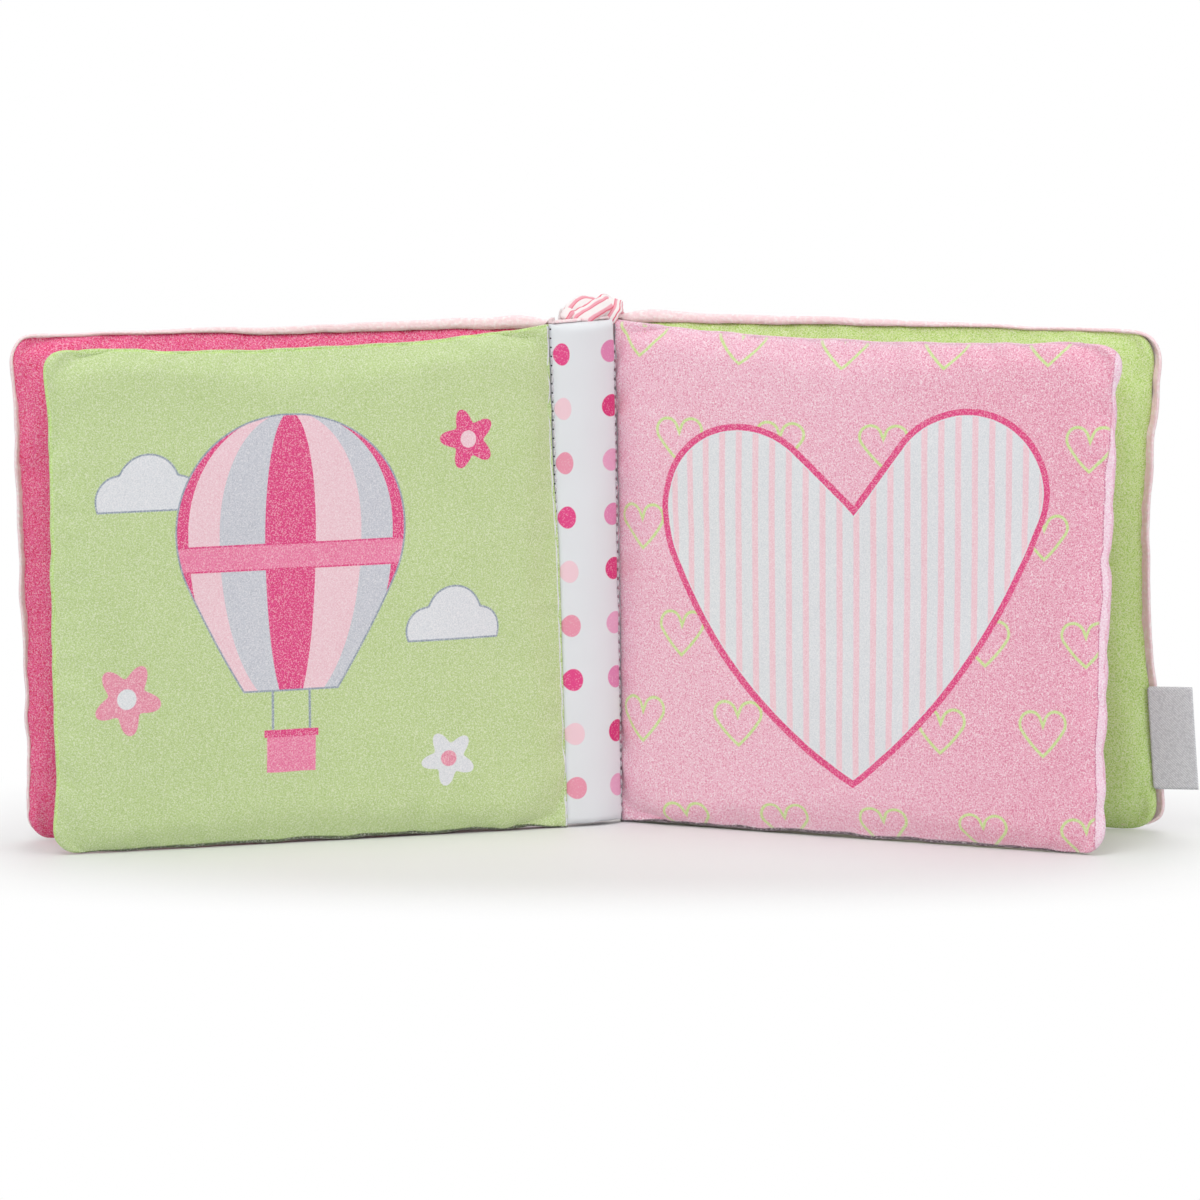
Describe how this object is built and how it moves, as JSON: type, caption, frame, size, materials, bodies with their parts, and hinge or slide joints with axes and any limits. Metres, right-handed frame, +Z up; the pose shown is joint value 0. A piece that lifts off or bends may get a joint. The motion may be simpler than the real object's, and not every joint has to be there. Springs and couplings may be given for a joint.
{
  "type": "crinkle cloth book",
  "caption": "Soft padded cloth book standing open: two leaves and two plush covers sewn to a soft spine, with a knotted hanging loop and a fabric tab.",
  "frame": {"origin": "on the floor under the centre of the open book's bounding box", "axes": "+X to the reader's right across the open book, +Y away from the reader, +Z up along the spine"},
  "size_m": [0.3518, 0.0946, 0.1586],
  "materials": {
    "lime_print": "printed brushed cloth, matt",
    "lime_reverse": "brushed cloth, matt",
    "pink_print": "printed brushed cloth, matt",
    "pink_reverse": "brushed cloth, matt",
    "magenta_lining": "plain cotton, matt",
    "green_lining": "plain cotton, matt",
    "white_dotted_cotton": "smooth cotton with printed dots",
    "pale_pink_plush": "short plush pile",
    "white_wadding": "loose polyester fibre",
    "clear_crinkle_film": "crinkled clear film",
    "white_thread": "cotton thread",
    "striped_cotton_band": "woven cotton with stripes",
    "grey_satin_label": "satin weave"
  },
  "bodies": {
    "spine": {"gutter_strip": "white_dotted_cotton", "spine_plush": "pale_pink_plush", "spine_wadding": "white_wadding", "left_seam_thread": "white_thread", "right_seam_thread": "white_thread", "loop_knot": "striped_cotton_band"},
    "left_leaf": {"left_leaf_front_cloth": "lime_print", "left_leaf_back_cloth": "lime_reverse", "left_leaf_crinkle_film": "clear_crinkle_film", "left_leaf_wadding": "white_wadding"},
    "right_leaf": {"right_leaf_front_cloth": "pink_print", "right_leaf_back_cloth": "pink_reverse", "right_leaf_crinkle_film": "clear_crinkle_film", "right_leaf_wadding": "white_wadding"},
    "front_cover": {"front_cover_lining": "magenta_lining", "front_cover_plush": "pale_pink_plush", "front_cover_wadding": "white_wadding"},
    "back_cover": {"back_cover_lining": "green_lining", "back_cover_plush": "pale_pink_plush", "back_cover_wadding": "white_wadding"},
    "hanging_loop": {"hanging_loop": "striped_cotton_band"},
    "label": {"woven_label": "grey_satin_label"}
  },
  "joints": [
    {"name": "left_leaf_hinge", "type": "hinge", "parent": "spine", "child": "left_leaf", "pos_m": [-0.01525, 0.01902, 0], "axis": [0, 0, 1], "range_deg": [-3.8, 106.2]},
    {"name": "right_leaf_hinge", "type": "hinge", "parent": "spine", "child": "right_leaf", "pos_m": [0.00236, 0.03302, 0], "axis": [0, 0, -1], "range_deg": [-84, 26]},
    {"name": "front_cover_hinge", "type": "hinge", "parent": "left_leaf", "child": "front_cover", "pos_m": [-0.01658, 0.02226, 0], "axis": [0, 0, 1], "range_deg": [-58.2, 3.8]},
    {"name": "back_cover_hinge", "type": "hinge", "parent": "right_leaf", "child": "back_cover", "pos_m": [0.00387, 0.03618, 0], "axis": [0, 0, -1], "range_deg": [-53.6, 7.3]},
    {"name": "hanging_loop_swing", "type": "hinge", "parent": "spine", "child": "hanging_loop", "pos_m": [-0.01298, 0.03424, 0.1529], "axis": [-0.7826, -0.6225, 0], "range_deg": [-150, 0]},
    {"name": "label_flex", "type": "hinge", "parent": "back_cover", "child": "label", "pos_m": [0.16299, 0.01338, 0.0275], "axis": [0.0102, 0.0739, -0.9972], "range_deg": [-30, 70], "stiffness_Nm_per_rad": 0.0002}
  ]
}
